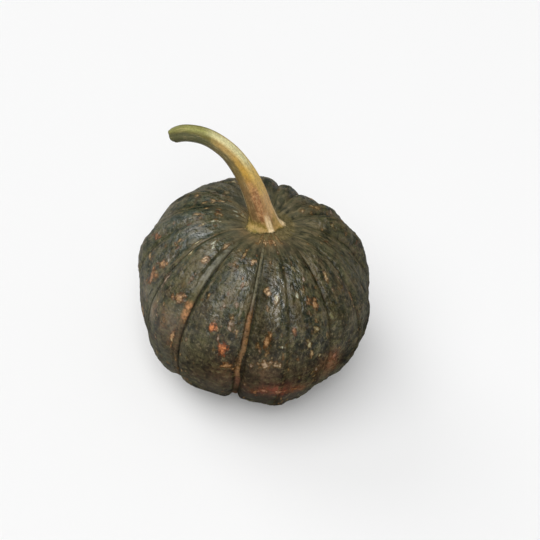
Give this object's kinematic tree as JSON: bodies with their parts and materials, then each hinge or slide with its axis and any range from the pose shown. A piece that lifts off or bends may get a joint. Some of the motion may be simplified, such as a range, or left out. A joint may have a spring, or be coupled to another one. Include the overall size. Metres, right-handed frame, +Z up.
{
  "type": "kabocha squash",
  "caption": "Whole kabocha squash standing on its base: flattened, ribbed fruit with a sunken top and a long curved stalk.",
  "frame": {"origin": "on the fruit's axis, at the middle of the blossom scar, in the plane that the squash rests on", "axes": "+Z up from the surface it rests on towards the stalk; the stalk bends towards -X; -Y is the front"},
  "size_m": [0.1793, 0.1802, 0.1957],
  "materials": {
    "rind": "waxy, finely pebbled dark green rind mottled with grey-green, with orange and tan streaks and patches",
    "stalk": "dry, ridged stalk running from olive green at the cut end through golden tan to reddish tan, cream at the foot"
  },
  "bodies": {
    "root": {"fruit": "rind", "stem": "stalk"}
  },
  "joints": []
}
